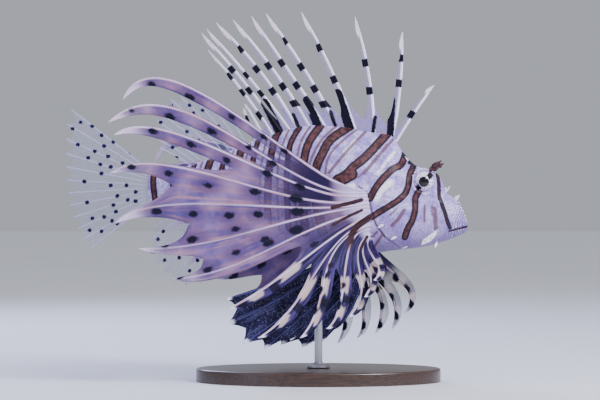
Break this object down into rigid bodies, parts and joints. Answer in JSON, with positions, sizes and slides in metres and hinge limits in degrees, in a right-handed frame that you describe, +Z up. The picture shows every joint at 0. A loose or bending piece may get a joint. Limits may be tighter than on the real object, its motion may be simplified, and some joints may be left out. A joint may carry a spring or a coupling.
{
  "type": "red lionfish",
  "caption": "Red lionfish, life size, with its pectoral fins spread like fans and its dorsal spines raised, held in a swimming pose by a rod on an oval display base.",
  "frame": {"origin": "centre of the stand base's underside", "axes": "+X along the fish towards its snout, +Y towards the fish's left, +Z up from the floor"},
  "size_m": [0.3064, 0.2049, 0.2812],
  "materials": {
    "skin": "painted cast resin, satin, lavender white with maroon bands",
    "flaps": "painted soft resin, reddish brown",
    "eye": "painted glass eye, polished",
    "spine": "painted cast resin, lavender with dark blocks",
    "fin": "thin painted resin sheet, mauve with dark spots",
    "dark_fin": "thin painted resin sheet, blue black",
    "base": "dark stained and lacquered wood",
    "rod": "brushed stainless steel"
  },
  "bodies": {
    "root": {"head": "skin", "lower_jaw": "skin", "trunk": "skin", "tail_root": "skin", "brow_tentacle_right": "flaps", "brow_tentacle_left": "flaps", "mouth_tentacle_right": "flaps", "mouth_tentacle_left": "flaps", "eye_right": "eye", "eye_left": "eye", "dorsal_spines": "spine", "pectoral_fin_right": "fin", "pectoral_fin_left": "fin", "soft_dorsal_fin": "fin", "anal_fin": "fin", "caudal_fin": "fin", "pelvic_fin_right": "dark_fin", "pelvic_fin_left": "dark_fin", "stand_base": "base", "stand_rod": "rod"}
  },
  "joints": []
}
